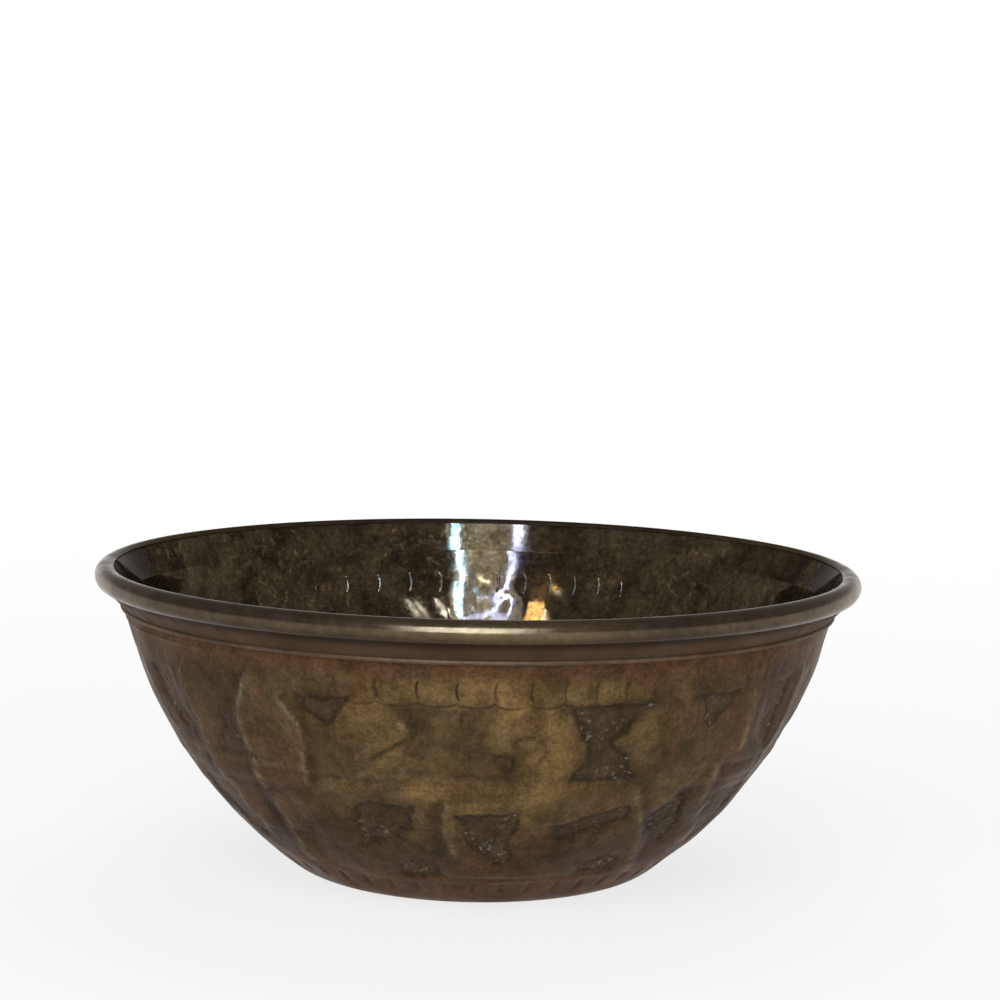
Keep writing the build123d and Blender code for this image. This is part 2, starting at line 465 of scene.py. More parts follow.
class ChasedWall:
    """Relief of the chased wall, in millimetres, worked out at points round it and down it."""

    def __init__(self, chasing, section, places, soften):
        radius = np.hypot(places[:, 0], places[:, 1])
        self.chasing = chasing
        self.cut_depth = chasing.line_depth / MM
        self.soften = soften
        self.round = np.degrees(np.arctan2(places[:, 0], -places[:, 1]))
        self.radius = radius / MM
        self.drop = section.drop(radius, places[:, 2]) / MM
        self.ground = np.full(radius.shape, -FIELD_REACH)
        self.tone, self.line, self.crest, self.facet, self.relief = np.zeros((5, *radius.shape))

    def across(self, centre):
        """Millimetres round the wall from a direction given in degrees."""
        turn = (self.round - centre + 180) % 360 - 180
        return np.radians(turn) * self.radius

    def near(self, across, reach, top, foot):
        """Points that lie within reach of a line down the wall and between two drops."""
        return np.flatnonzero((np.abs(across) < reach) & (self.drop > top) & (self.drop < foot))

    def mark(self, layer, near, values):
        """Brings a layer of marks for the finish up to these values."""
        marks = getattr(self, layer)
        marks[near] = np.maximum(marks[near], values)

    def engrave(self, near, cut, shade=1.0):
        """Sinks a line and marks it for the finish."""
        self.relief[near] -= self.cut_depth * cut
        self.mark("line", near, shade * cut)

    def hammer(self):
        """Soft unevenness left by the raising hammer."""
        turn = np.radians(self.round)
        wave = np.zeros(turn.shape)
        for count, rate, start, size in HAMMER_WAVES:
            wave += size * np.sin(count * turn + rate * self.drop + start)
        self.relief += self.chasing.unevenness / MM * 0.5 * wave * window(self.drop, *HAMMERED)

    def grounds(self):
        """Sunk grounds, and the fields that swell up away from them."""
        for turn in TURNS:
            for centre, outline, tone in GROUNDS:
                across = self.across(centre + turn)
                near = self.near(across, GROUND_REACH, *GROUND_DROPS)
                across, down = across[near], self.drop[near]
                sway = 0.28 * np.sin(0.9 * down + centre + turn) + 0.2 * np.sin(1.9 * across - centre)
                depth = inside_outline(across + sway, down - 0.6 * sway, outline)
                self.tone[near[depth > self.ground[near]]] = tone
                self.mark("ground", near, depth)
        edge = 0.5 + self.soften
        sunk = ramp(self.ground, -edge, edge) * (0.35 + 0.65 * self.tone)
        swell = ramp(-self.ground, 0.0, FIELD_SWELL) * window(self.drop, *FRIEZE)
        self.relief += (self.chasing.swell * swell - self.chasing.depth * sunk) / MM

    def beside(self, centre, points):
        """Points near a line, how far they lie to its right, and how much of it is left there."""
        across = self.across(centre)
        (first, top), (last, foot) = points[0], points[-1]
        near = self.near(across, LINE_REACH, top - 1, foot + 1)
        down = self.drop[near]
        lean = math.hypot(1, (last - first) / (foot - top))
        tops, sides = [p[1] for p in points], [p[0] for p in points]
        line = np.mean([np.interp(down + shift, tops, sides) for shift in LINE_SHIFTS], axis=0)
        fade = window(down, top - 0.6, top + 1.2, foot - 1.2, foot + 0.6)
        return near, (across[near] - line) / lean, fade

    def crests(self):
        """Ridges that are steep on one side and fall away gently on the other."""
        for turn in TURNS:
            for centre, points, height, gentle in CRESTS:
                near, side, fade = self.beside(centre + turn, points)
                side = side * gentle
                steep_side = side < 0
                gone = np.clip(side, 0, None)
                size = fade * height * (1.0 if turn == 0 else CREST_COPY)
                steep = hump(side, CREST_STEEP + self.soften)
                rise = np.where(steep_side, steep, np.exp(-gone / CREST_FALL))
                self.relief[near] += self.chasing.crest / MM * size * rise
                # Pale line on top of the crest: worn metal and a painted highlight
                self.mark("crest", near, hump(side - 0.2, 0.65) * size)
                # Painted shadow: a dark line just off the steep side, kept in the line layer beside the
                # dirt of the cuts
                self.mark("line", near, 0.35 * hump(side + 1.0, 0.5) * size)
                # Painted light and shade on the facets: lighter down the gentle side, darker just off the
                # steep side
                tilt = np.where(steep_side, -hump(side + 1.0, 1.6), np.exp(-gone / FACET_FALL))
                self.facet[near] += tilt * size

    def cuts(self):
        """Lines cut with the chasing chisel, and curls struck with a ring punch."""
        width = CUT_WIDTH + self.soften
        for turn in TURNS:
            for centre, points, depth in CUTS:
                near, side, fade = self.beside(centre + turn, points)
                self.engrave(near, depth * fade * hump(side, width))
            for centre, down, radius, depth in CURLS:
                across = self.across(centre + turn)
                reach = np.hypot(across, self.drop - down)
                near = np.flatnonzero(reach < radius + 2)
                opened = ramp(across[near] - (self.drop[near] - down), -1.6 * radius, 0.2 * radius)
                self.engrave(near, depth * opened * hump(reach[near] - radius, width))

    def beside_stroke(self, part, pitch):
        """Millimetres to the nearest of a row of strokes, from how much of the pitch has gone by."""
        return np.where(part > 0.5, part - 1, part) * np.radians(pitch) * self.radius

    def border(self):
        """Row of tongues under the rim, parted by short curved strokes."""
        pitch = 360 / self.chasing.lappets
        crowd = STROKE_CROWD * np.cos(np.radians(len(TURNS) * self.round - STROKE_TURN))
        part = ((self.round - crowd + STROKE_START) / pitch) % 1
        along = (self.drop - STROKE_MIDDLE) / STROKE_HALF
        side = self.beside_stroke(part, pitch) - np.radians(STROKE_BOW) * self.radius * along**2
        stroke = hump(side, STROKE_WIDTH + self.soften) * (1 - ramp(np.abs(along), 0.7, 1.3))
        tongue = HEM_DROP + HEM_HANG * np.sqrt(np.clip(1 - (2 * part - 1) ** 2, 0, 1))
        hem = hump(self.drop - tongue, HEM_WIDTH + self.soften)
        puff = TONGUE_PUFF * window(self.drop, *TONGUES) * np.sin(np.pi * part) ** 0.8
        left = 0.25 + 0.75 * ramp(thirds(self.round), 0.4, 0.75)
        self.relief += left * (puff - self.cut_depth * (0.8 * stroke + 0.5 * hem))

    def rings(self):
        """Chased lines round the wall, the soft band between two of them, and a line under the rim with a
        painted shadow along it.
        """
        sway = 0.25 * np.sin(np.radians(self.round * 5)) + 0.18 * np.sin(np.radians(self.round * 13 + 40))
        for drop, strength in RINGS:
            patchy = strength * (0.6 + 0.4 * np.sin(np.radians(self.round * 4 + drop * 9)))
            below = self.drop - drop - sway
            self.engrave(ALL, patchy * hump(below, RING_WIDTH + self.soften), shade=0.5)
            # Pale line on the lip above each groove: worn metal and a painted highlight
            self.mark("crest", ALL, 0.7 * patchy * hump(below + 0.8, 0.45))
        self.relief += BAND_RISE * hump(self.drop - BAND_DROP - sway, 1.3)
        left = window(-self.round, *RIM_LINE_TURNS)
        below = 0.22 * hump(self.drop - 2.1, 0.4) - 0.2 * hump(self.drop - 1.35, 0.35)
        self.relief += below * (0.3 + left)
        # Painted shadow under the rim's flange, kept in the line layer
        self.mark("line", ALL, hump(self.drop - 1.2, 0.35) * (0.2 + 0.5 * left))

    def ticks(self):
        """Short strokes under the lowest line."""
        side = self.beside_stroke((self.round / TICK_PITCH) % 1, TICK_PITCH)
        stroke = hump(side, TICK_WIDTH + self.soften) * window(self.drop, *TICKS)
        self.engrave(ALL, 0.8 * stroke, shade=0.875)

    def matting(self, seed):
        """Fine punch marks all over the grounds."""
        marks = np.random.default_rng(seed).uniform(-1, 1, self.relief.shape)
        self.relief += self.chasing.stipple / MM * marks * ramp(self.ground, 0.1, 0.8) * self.tone

    def work(self):
        """All of it, in the order of the work, and flatter at the two sides."""
        steps = (self.hammer, self.grounds, self.crests, self.cuts, self.border, self.rings, self.ticks)
        for step in steps:
            step()
        self.relief *= 1 - SIDE_LOSS * hump(np.abs(self.round) - SIDE_TURN, SIDE_WIDTH)
        return self

    def rubbed(self):
        """How far the raised fields are rubbed bright, most at the middle of each third."""
        lobes = thirds(self.round) ** 1.7
        band = 0.25 * hump(self.drop - BAND_DROP, 1.8)
        field = 0.6 + 0.4 * ramp(-self.ground, 0.2, 2.2)
        proud = 1 - self.tone * ramp(self.ground, -0.5, 0.4)
        return (0.06 + (0.9 + band) * lobes) * window(self.drop, *RUBBED) * field * proud


def vertex_places(skin):
    """Coordinates of a mesh's vertices."""
    places = np.empty(len(skin.data.vertices) * 3)
    skin.data.vertices.foreach_get("co", places)
    return places.reshape(-1, 3)


def keep_values(skin, name, values):
    """Stores one number at each vertex, for the finish to read."""
    layer = skin.data.attributes.new(name, "FLOAT", "POINT")
    layer.data.foreach_set("value", np.asarray(values, np.float32))


def push_out(skin, heights):
    """Moves the skin along its normals by heights in millimetres, outward and inward in turn."""
    for name, share in (("raised", heights), ("sunk", -heights)):
        top = share.max()
        if top <= 0:
            continue
        group = skin.vertex_groups.new(name=name)
        for index in np.flatnonzero(share > 0):
            group.add([int(index)], float(share[index] / top), "REPLACE")
        displace = skin.modifiers.new(name, "DISPLACE")
        displace.vertex_group = name
        displace.mid_level = 0
        displace.strength = float(top) * MM * (1 if name == "raised" else -1)
        apply_modifier(skin, displace)
        skin.vertex_groups.remove(skin.vertex_groups[name])


class Nodes:
    """Adds nodes to a tree; an input is given as a value or as another node's socket."""

    def __init__(self, tree):
        self.tree = tree

    def feed(self, node, inputs):
        """Sets or links a node's inputs."""
        for name, value in inputs.items():
            if isinstance(value, bpy.types.NodeSocket):
                self.tree.links.new(value, node.inputs[name])
            else:
                node.inputs[name].default_value = value

    def add(self, kind, inputs=None, **settings):
        """A new node."""
        made = self.tree.nodes.new("ShaderNode" + kind)
        for name, value in settings.items():
            setattr(made, name, value)
        self.feed(made, inputs or {})
        return made

    def spread(self, value, low, high, to_low=0.0, to_high=1.0):
        """Maps a value from one span onto another, held at its ends."""
        spans = {"Value": value, "From Min": low, "From Max": high, "To Min": to_low, "To Max": to_high}
        return self.add("MapRange", spans, interpolation_type="SMOOTHSTEP").outputs["Result"]

    def mix(self, share, first, second, blend="MIX"):
        """Mixes two colours."""
        inputs = {0: share, 6: first, 7: second}
        for socket in (6, 7):
            if not isinstance(inputs[socket], bpy.types.NodeSocket):
                inputs[socket] = (*inputs[socket][:3], 1)
        return self.add("Mix", inputs, data_type="RGBA", blend_type=blend).outputs[2]

    def maths(self, operation, *values):
        """One sum on one, two or three values."""
        return self.add("Math", dict(enumerate(values)), operation=operation).outputs[0]

    def times(self, first, second):
        """The product of two values."""
        return self.maths("MULTIPLY", first, second)


class Finish(Nodes):
    """A material in the making, with its body colour, its shader and object coordinates."""

    def __init__(self, name):
        self.body = None
        self.material = bpy.data.materials.new(name)
        self.material.use_nodes = True
        super().__init__(self.material.node_tree)
        self.shader = self.tree.nodes["Principled BSDF"]
        self.places = self.add("TexCoord").outputs["Object"]

    def kept(self, name):
        """A number kept at the vertices."""
        return self.add("Attribute", attribute_name=name).outputs["Fac"]

    def noise(self, scale, detail=3.0, rough=0.55, places=None):
        """Noise; scale is in cells a metre."""
        vector = self.places if places is None else places
        inputs = {"Vector": vector, "Scale": scale, "Detail": detail, "Roughness": rough}
        return self.add("TexNoise", inputs).outputs["Fac"]

    def coat(self, share, tint):
        """Lays a colour over the body."""
        self.body = self.mix(share, self.body, tint)

    def patch(self, tint, scale, low, high, share, detail=4, places=None):
        """Lays patches of a colour over the body."""
        self.coat(self.spread(self.noise(scale, detail, places=places), low, high, 0.0, share), tint)

    def shade(self, value, low, high, dark, light):
        """Makes the body darker and lighter by a value."""
        shade = self.spread(value, low, high, dark, light)
        grey = self.add("CombineColor", {"Red": shade, "Green": shade, "Blue": shade})
        self.body = self.mix(1.0, self.body, grey.outputs["Color"], "MULTIPLY")

    def grain(self, scale, dark, light, detail=4, places=None):
        """Mottles the body all over."""
        self.shade(self.noise(scale, detail, 0.7, places), *NOISE_SPAN, dark, light)

    def bump(self, height, strength, depth, **under):
        """Fine dents with their depth in millimetres, on top of another bump's Normal if one is given."""
        inputs = {"Height": height, "Strength": strength, "Distance": depth * MM, **under}
        return self.add("Bump", inputs).outputs["Normal"]

    def done(self, inputs):
        """The material, once its shader's inputs are set."""
        self.feed(self.shader, {"Base Color": self.body, **inputs})
        return self.material


def border_marks(mat, drop, between, middle):
    """Strokes that part the border's tongues, and the tongues' hems.

    How much is left of them is given for the places between the thirds' middles, and for the middles.
    """
    axes = mat.add("SeparateXYZ", {"Vector": mat.places}).outputs
    turn = mat.maths("ARCTAN2", axes["X"], mat.times(axes["Y"], -1.0))
    third = mat.maths("COSINE", mat.maths("MULTIPLY_ADD", turn, len(TURNS), -math.radians(STROKE_TURN)))
    crowd = mat.times(third, math.radians(STROKE_CROWD))
    along = mat.maths("DIVIDE", mat.maths("SUBTRACT", drop, STROKE_MIDDLE), STROKE_HALF)
    bow = mat.times(mat.maths("POWER", along, 2.0), math.radians(STROKE_BOW))
    base = mat.maths("ADD", mat.maths("SUBTRACT", turn, crowd), math.radians(STROKE_START))
    half = math.pi / bpy.context.scene.offering_bowl.chasing.lappets
    away = mat.maths("PINGPONG", mat.maths("SUBTRACT", base, bow), half)
    stroke = mat.spread(away, *np.radians(STROKE_EDGE).tolist(), 0.9, 0.0)
    stroke = mat.times(stroke, mat.spread(mat.maths("ABSOLUTE", along), 0.7, 1.2, 1.0, 0.0))
    part = mat.maths("SUBTRACT", 1.0, mat.maths("DIVIDE", mat.maths("PINGPONG", base, half), half))
    round_end = mat.maths("SQRT", mat.maths("SUBTRACT", 1.0, mat.maths("POWER", part, 2.0)))
    tongue = mat.maths("MULTIPLY_ADD", round_end, HEM_HANG, HEM_DROP)
    hem = mat.spread(mat.maths("ABSOLUTE", mat.maths("SUBTRACT", drop, tongue)), *HEM_EDGE, 0.6, 0.0)
    left = mat.spread(third, -0.1, 0.5, between, middle)
    left = mat.times(left, mat.spread(mat.noise(110), 0.35, 0.62, 0.65, 1.0))
    return mat.times(stroke, left), mat.times(hem, left)


def chased_finish(colours):
    """Outside of the sheet: tarnished brass, rubbed where it is proud, dark in the punched grounds."""
    mat = Finish("chased_brass")
    drop, tone = mat.kept("drop"), mat.kept("tone")
    upright = mat.add("Mapping", {"Vector": mat.places, "Scale": (1, 1, 0.3)}).outputs["Vector"]
    stains = mat.spread(mat.noise(150, 5, 0.6), 0.36, 0.68)
    grain = mat.noise(620, 3, 0.6)

    # Tarnish, redder under the rim and by the base, and the brass that shows through it
    mat.body = mat.mix(mat.spread(mat.noise(48, 4), 0.36, 0.64), colours.olive, colours.umber)
    mat.patch(colours.copper, 120, 0.5, 0.66, share=0.3, places=upright)
    mat.coat(mat.spread(drop, 1.5, 5.5, 0.75, 0.1), colours.copper)
    mat.coat(mat.spread(drop, 38.0, 48.0, 0.0, 0.8), colours.copper)
    gilt = mat.times(mat.kept("rubbed"), mat.spread(stains, 0.0, 1.0, 1.0, 0.4))
    mat.coat(gilt, colours.gold)
    mat.patch(colours.copper, 85, 0.5, 0.66, share=0.5)
    green = mat.spread(mat.noise(105, 4), 0.48, 0.62, 0.0, 0.45)
    mat.coat(mat.times(green, gilt), colours.verdigris)
    # Pale crests: worn metal and a painted highlight along the ridges and above the rings' grooves
    crest_wear_and_highlight = mat.times(mat.kept("crest"), mat.spread(grain, 0.35, 0.6, 0.05, 0.26))
    mat.coat(crest_wear_and_highlight, colours.pale)
    # Painted light and shade of the facets beside the crests
    mat.shade(mat.kept("facet"), -1.0, 1.0, 0.64, 1.24)

    # Ragged grounds with painted shade along their edges, and dirt in lines and in the border
    ragged = mat.spread(mat.noise(380, 4, 0.6), *NOISE_SPAN, -0.5, 0.5)
    edge = mat.maths("ADD", mat.kept("ground"), ragged)
    sunk = mat.times(mat.spread(edge, -0.3, 0.45), tone)
    mat.coat(mat.times(sunk, 0.85), colours.ground)
    # Painted shade just inside the grounds' edges
    rand = mat.spread(mat.maths("ABSOLUTE", mat.maths("SUBTRACT", edge, 0.3)), 0.0, 0.75, 0.65, 0.0)
    mat.coat(mat.times(rand, mat.spread(tone, 0.0, 0.5)), colours.dirt_and_shade)
    # Dirt in the chased lines, with painted shadow along the crests' steep sides and under the rim
    mat.coat(mat.times(mat.kept("line"), 0.75), colours.dirt_and_shade)
    for marks in border_marks(mat, drop, between=0.12, middle=1.0):
        mat.coat(marks, colours.dirt_and_shade)
    # Bare specks in the grounds, painted pale as glints
    glint_fleck = mat.spread(mat.noise(1100), 0.56, 0.66)
    glint_fleck = mat.times(glint_fleck, mat.spread(mat.times(sunk, stains), 0.2, 0.6))
    mat.coat(mat.times(glint_fleck, 0.65), colours.silver_and_glint)

    mat.grain(170, 0.78, 1.24, places=upright)
    mat.grain(420, 0.76, 1.24)
    mat.grain(1700, 0.72, 1.28)
    rough = mat.maths("SUBTRACT", mat.spread(stains, 0.0, 1.0, 0.36, 0.5), mat.times(glint_fleck, 0.2))
    pits = mat.add("TexVoronoi", {"Vector": mat.places, "Scale": 1300.0}).outputs["Distance"]
    punched = mat.bump(mat.times(pits, sunk), 0.6, 0.25)
    return mat.done({
        "Metallic": 0.4,
        "Specular IOR Level": 0.15,
        "Specular Tint": (0.48, 0.37, 0.26, 1),
        "Roughness": rough,
        "Normal": mat.bump(grain, 0.3, 0.08, Normal=punched),
    })


def well_finish(colours):
    """Inside of the sheet: smoother dark brass with faint stains."""
    mat = Finish("well_brass")
    stains = mat.spread(mat.noise(70, 5, 0.62), 0.36, 0.66)
    mat.body = mat.mix(stains, colours.well, tuple(0.6 * c for c in colours.well))
    mat.patch(colours.umber, 40, 0.45, 0.64, share=0.8, detail=3)
    speck = mat.spread(mat.noise(800), 0.54, 0.66)
    speck = mat.times(speck, mat.spread(mat.noise(55, 4), 0.44, 0.6, 0.15, 0.9))
    mat.coat(speck, colours.burnish_and_sheen)
    strokes, _ = border_marks(mat, mat.kept("drop"), between=0.38, middle=0.06)
    # Painted highlights along the impressed strokes, over their bumps
    mat.coat(mat.times(strokes, 0.5), colours.burnish_and_sheen)
    mat.grain(210, 0.5, 1.5, detail=5)
    mat.grain(1300, 0.62, 1.42, detail=5)
    fine = mat.bump(mat.noise(420), 0.18, 0.06)
    return mat.done({
        "Metallic": 0.7,
        "Specular IOR Level": 0.25,
        "Specular Tint": (0.25, 0.25, 0.26, 1),
        "Roughness": mat.spread(mat.noise(160, 5, 0.62), 0.35, 0.7, 0.04, 0.11),
        "Normal": mat.bump(strokes, 1.0, 0.3, Normal=fine),
    })


def rim_finish(colours):
    """Rolled rim: olive brass with a painted sheen at the middle of each third, painted shade on the lower
    half and towards the top of the bead, and duller behind.
    """
    mat = Finish("rim_brass")
    rise = mat.kept("rise")
    stains = mat.spread(mat.noise(75, 5, 0.6), 0.36, 0.68)
    mat.body = mat.mix(stains, colours.rim, tuple(0.72 * c for c in colours.rim))
    # Painted sheen: lighter brass at the middle of each third
    mat.coat(mat.kept("handled"), colours.burnish_and_sheen)
    # Painted shade: darker from the bead's middle down to the flange
    mat.shade(rise, 2.7, 4.3, 0.4, 1.0)
    # Painted shade towards the top of the bead
    mat.shade(rise, 5.3, 6.2, 1.0, 0.7)
    # The flange: patches of reddened brass with a painted highlight, and of painted shade
    flange = mat.mix(mat.spread(mat.noise(65, 4), 0.42, 0.6), colours.blush_and_highlight, colours.grime)
    mat.coat(mat.spread(rise, -0.2, 0.4, 1.0, 0.0), flange)
    mat.grain(240, 0.85, 1.15)
    mat.grain(900, 0.85, 1.15)
    behind = mat.spread(mat.add("SeparateXYZ", {"Vector": mat.places}).outputs["Y"], 0.0, 0.04)
    rough = mat.spread(mat.noise(220, 5, 0.65), *NOISE_SPAN, 0.16, 0.3)
    rough = mat.maths("MULTIPLY_ADD", behind, 0.2, rough)
    return mat.done({
        "Metallic": 0.9,
        "Specular Tint": mat.mix(behind, (0.95, 0.91, 0.86), (0.30, 0.27, 0.24)),
        "Roughness": mat.maths("MAXIMUM", rough, mat.spread(rise, 0.2, 0.8, 0.6, 0.0)),
        "Normal": mat.bump(mat.noise(900), 0.25, 0.05),
    })


def under_rim_shade_finish(colours):
    """Underside of the rim: dull brown that stands in for the shade under the bead, with dirt and red
    tarnish in patches.
    """
    mat = Finish("rim_grime")
    mat.body = colours.grime
    mat.coat(mat.spread(mat.noise(130, 5, 0.65), 0.35, 0.68, 0.0, 0.45), colours.dirt_and_shade)
    mat.patch(colours.copper, 60, 0.5, 0.7, share=0.5)
    # Painted shadow, darkest right under the bead
    mat.coat(mat.spread(mat.kept("rise"), 1.1, 2.5, 0.0, 0.85), colours.dirt_and_shade)
    return mat.done({
        "Metallic": 0.3,
        "Specular IOR Level": 0.1,
        "Specular Tint": (0.4, 0.34, 0.28, 1),
        "Roughness": mat.spread(mat.noise(300, 4), *NOISE_SPAN, 0.5, 0.7),
    })


def plain_metal_finish(name, first, second, rough):
    """Drawn wire or solder, hidden in the rim."""
    mat = Finish(name)
    mat.body = mat.mix(mat.noise(300), first, second)
    return mat.done({"Metallic": 1.0, "Roughness": rough})


def settle(piece, slot, *nodes):
    """Puts a finished piece on the frame, in place of its nodes."""
    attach(piece, "root")
    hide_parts(*nodes)


# Angles past which two faces meet in a sharp edge
SHELL_CREASE = math.radians(40)
RIM_CREASE = math.radians(24)

# How much of the relief shows on the inside of the sheet, and how much wider its marks are there
IMPRESSED = 0.25
IMPRESSED_SOFTEN = 0.3


class OFFERINGBOWL_OT_chased_shell(bpy.types.Operator):
    """Spin both sides of the raised sheet, chase the wall and close its edge"""

    bl_idname = "offering_bowl.chased_shell"
    bl_label = "Chased shell"

    def side(self, settings, name, points, turns, soften):
        """One side of the sheet, not yet chased, and the work on it."""
        skin = spin_section(name, points, turns)
        places = vertex_places(skin)
        return skin, ChasedWall(settings.chasing, WallSection(settings.sheet), places, soften).work()

    def execute(self, context):
        settings = context.scene.offering_bowl
        sheet = settings.sheet
        points = skin_section(sheet, 0.0, sheet.bend_radius, base=3, corner=8, wall=96, flare=2)
        outside, worked = self.side(settings, "chased_shell", points, sheet.turns, soften=0.0)
        worked.matting(seed=7)
        for name in ("ground", "tone", "line", "crest", "facet", "drop"):
            keep_values(outside, name, getattr(worked, name))
        keep_values(outside, "rubbed", worked.rubbed())
        push_out(outside, worked.relief)
        outside.data.materials.append(chased_finish(settings.finish))

        points = skin_section(sheet, sheet.thickness, sheet.inner_bend, base=2, corner=4, wall=44, flare=3)
        inside, impressed = self.side(settings, "well", points, sheet.turns * 3 // 4, IMPRESSED_SOFTEN)
        keep_values(inside, "drop", impressed.drop)
        push_out(inside, IMPRESSED * impressed.relief)
        inside.data.materials.append(well_finish(settings.finish))
        deselect_all()
        inside.select_set(True)
        context.view_layer.objects.active = inside
        edit_all()
        bpy.ops.mesh.flip_normals()
        end_edit()

        outside.select_set(True)
        context.view_layer.objects.active = outside
        bpy.ops.object.join()
        edit_all()
        bpy.ops.mesh.select_mode(type="EDGE")
        bpy.ops.mesh.select_all(action="DESELECT")
        bpy.ops.mesh.select_non_manifold(extend=False, use_wire=False, use_boundary=True)
        bpy.ops.mesh.bridge_edge_loops()
        end_edit()
        bpy.ops.object.shade_smooth_by_angle(angle=SHELL_CREASE)
        settle(outside, "chased_sheet", "bowl_shell")
        return {"FINISHED"}


# Where the rim's underside has its painted shade: degrees under the bead's middle, and millimetres above
# the neck
UNDER_SHADE_TURN = 55.0
UNDER_SHADE_RISE = -0.25

FLANGE_EDGE = (-75, 60, 9)  # first and last degrees of the flange's rounded edge, and its points
LIP_END = 0.08  # radians by which the lip's edge is rounded


class OFFERINGBOWL_OT_rolled_rim(bpy.types.Operator):
    """Spin the rim's strip: flange, sloping underside and bead"""

    bl_idname = "offering_bowl.rolled_rim"
    bl_label = "Rolled rim"

    def section(self, sheet, rim):
        """Closed section of the strip, up along its outside and back along its inside."""
        out = math.pi / 2
        wall = WallSection(sheet)
        up = heading(sheet.neck_slope)
        away = heading(sheet.neck_slope - out)
        bead = Vector((sheet.rim_radius - rim.bead_radius, sheet.height - rim.bead_radius))
        top = wall.neck + away * (rim.gap + rim.strip)
        run = bead - top
        slope = math.atan2(run.y, run.x) - math.asin(rim.bead_radius / run.length)
        lip = out + rim.lip_wrap

        swell = wall.neck - up * rim.flange_height / 2 + away * rim.gap
        outside = []
        for turn in np.radians(np.linspace(*FLANGE_EDGE)):
            rise = up * math.sin(turn) * rim.flange_height / 2
            outside.append(swell + rise + away * math.cos(turn) * (rim.strip + rim.ridge))
        start = outside[-1]
        tucked = slope - out - rim.tuck
        span = bead + heading(tucked) * rim.bead_radius - start
        hollow = Vector((-span.y, span.x)).normalized() * rim.cove
        outside += [start + span * t + hollow * 4 * t * (1 - t) for t in np.linspace(0, 1, 7)[1:]]
        outside += arc(bead, rim.bead_radius, tucked, lip, steps=36)
        outside.append(bead + heading(lip + LIP_END) * (rim.bead_radius - rim.strip / 2))

        reach = rim.flange_bend * math.tan((sheet.neck_slope - slope) / 2)
        bend = top - up * reach + away * rim.flange_bend
        inside = [wall.neck - up * drop + away * rim.gap for drop in (rim.flange_height, reach)]
        inside += arc(bend, rim.flange_bend + rim.strip, sheet.neck_slope + out, slope + out, steps=6)
        inside += arc(bead, rim.bead_radius - rim.strip, slope - out, lip, steps=24)
        return outside + inside[::-1]

    def execute(self, context):
        settings = context.scene.offering_bowl
        sheet, rim = settings.sheet, settings.rim
        piece = spin_section("rolled_rim", self.section(sheet, rim), rim.turns, closed=True)
        places = vertex_places(piece)
        rise = (places[:, 2] - (sheet.height - sheet.neck_drop)) / MM
        turned = np.arctan2(
            places[:, 2] - sheet.height + rim.bead_radius,
            np.hypot(places[:, 0], places[:, 1]) - sheet.rim_radius + rim.bead_radius,
        )
        keep_values(piece, "rise", rise)
        # Share of the painted sheen, brightest at the middle of each third
        keep_values(piece, "handled", thirds(np.degrees(np.arctan2(places[:, 0], -places[:, 1]))) ** 5)
        piece.data.materials.append(rim_finish(settings.finish))
        piece.data.materials.append(under_rim_shade_finish(settings.finish))
        hollow = (np.degrees(turned) < -UNDER_SHADE_TURN) & (rise > UNDER_SHADE_RISE)
        for face in piece.data.polygons:
            if hollow[face.vertices].all():
                face.material_index = 1
        bpy.ops.object.shade_smooth_by_angle(angle=RIM_CREASE)
        settle(piece, "rim_brass", "rim_moulding")
        return {"FINISHED"}


class OFFERINGBOWL_OT_hidden_ring(bpy.types.Operator):
    """Finish the wire and the solder that the rim hides"""

    bl_idname = "offering_bowl.hidden_ring"
    bl_label = "Wire and solder"

    def execute(self, context):
        finishes = {
            "rim_wire": plain_metal_finish("drawn_wire", (0.30, 0.20, 0.09), (0.22, 0.15, 0.07), 0.35),
            "solder_seam": plain_metal_finish("soft_solder", (0.42, 0.42, 0.42), (0.30, 0.30, 0.31), 0.5),
        }
        for node, finish in finishes.items():
            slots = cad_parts[node].data.materials
            slots.clear()
            slots.append(finish)
        return {"FINISHED"}


BOWL_MIDDLE = Vector((0, 0, 0.04))
WHITE = (1.0, 1.0, 1.0)
DIM = (0.28, 0.28, 0.28)
CYAN = (0.18, 0.46, 1.0)
LILAC = (0.26, 0.38, 1.0)
SKY = (0.62, 0.76, 1.0)
PEARL = (0.80, 0.90, 1.0)
AMBER = (1.0, 0.74, 0.38)

# Narrow lamps that glint on the inside: degrees round and up to each end, width, brightness and tint
GLINTS = [
    ("front_panel", (-2, 20), (-2, 42), 0.36, 5.0, PEARL),
    ("upper_panel", (-3, 43), (-3, 50), 0.4, 4.0, PEARL),
    ("left_upper_strip", (10, 43), (10, 50), 0.045, 100.0, CYAN),
    ("right_upper_strip", (-16, 43), (-16, 50), 0.045, 100.0, LILAC),
    ("left_strip", (10.5, 14), (2.5, 38), 0.032, 150.0, CYAN),
    ("right_strip", (-15.5, 14), (-7, 38), 0.03, 150.0, LILAC),
    ("closing_bar", (-2.5, 37.6), (-2.5, 39.4), 0.12, 45.0, LILAC),
    ("middle_bar", (-1.5, 29.2), (-1.5, 29.8), 0.09, 60.0, PEARL),
    ("amber_panel", (-25, 31.5), (-25, 40), 0.13, 26.0, AMBER),
    ("amber_edge", (-30.5, 34), (-30.5, 39.5), 0.02, 50.0, SKY),
    ("near_glint", (17, 33), (15, 39), 0.007, 130.0, SKY),
    ("mid_glint", (13, 36), (10.5, 38.5), 0.007, 110.0, SKY),
    ("far_glint", (29, 33.5), (26, 39.5), 0.006, 130.0, SKY),
    ("farther_glint", (25.5, 34), (22, 39.5), 0.006, 130.0, SKY),
]


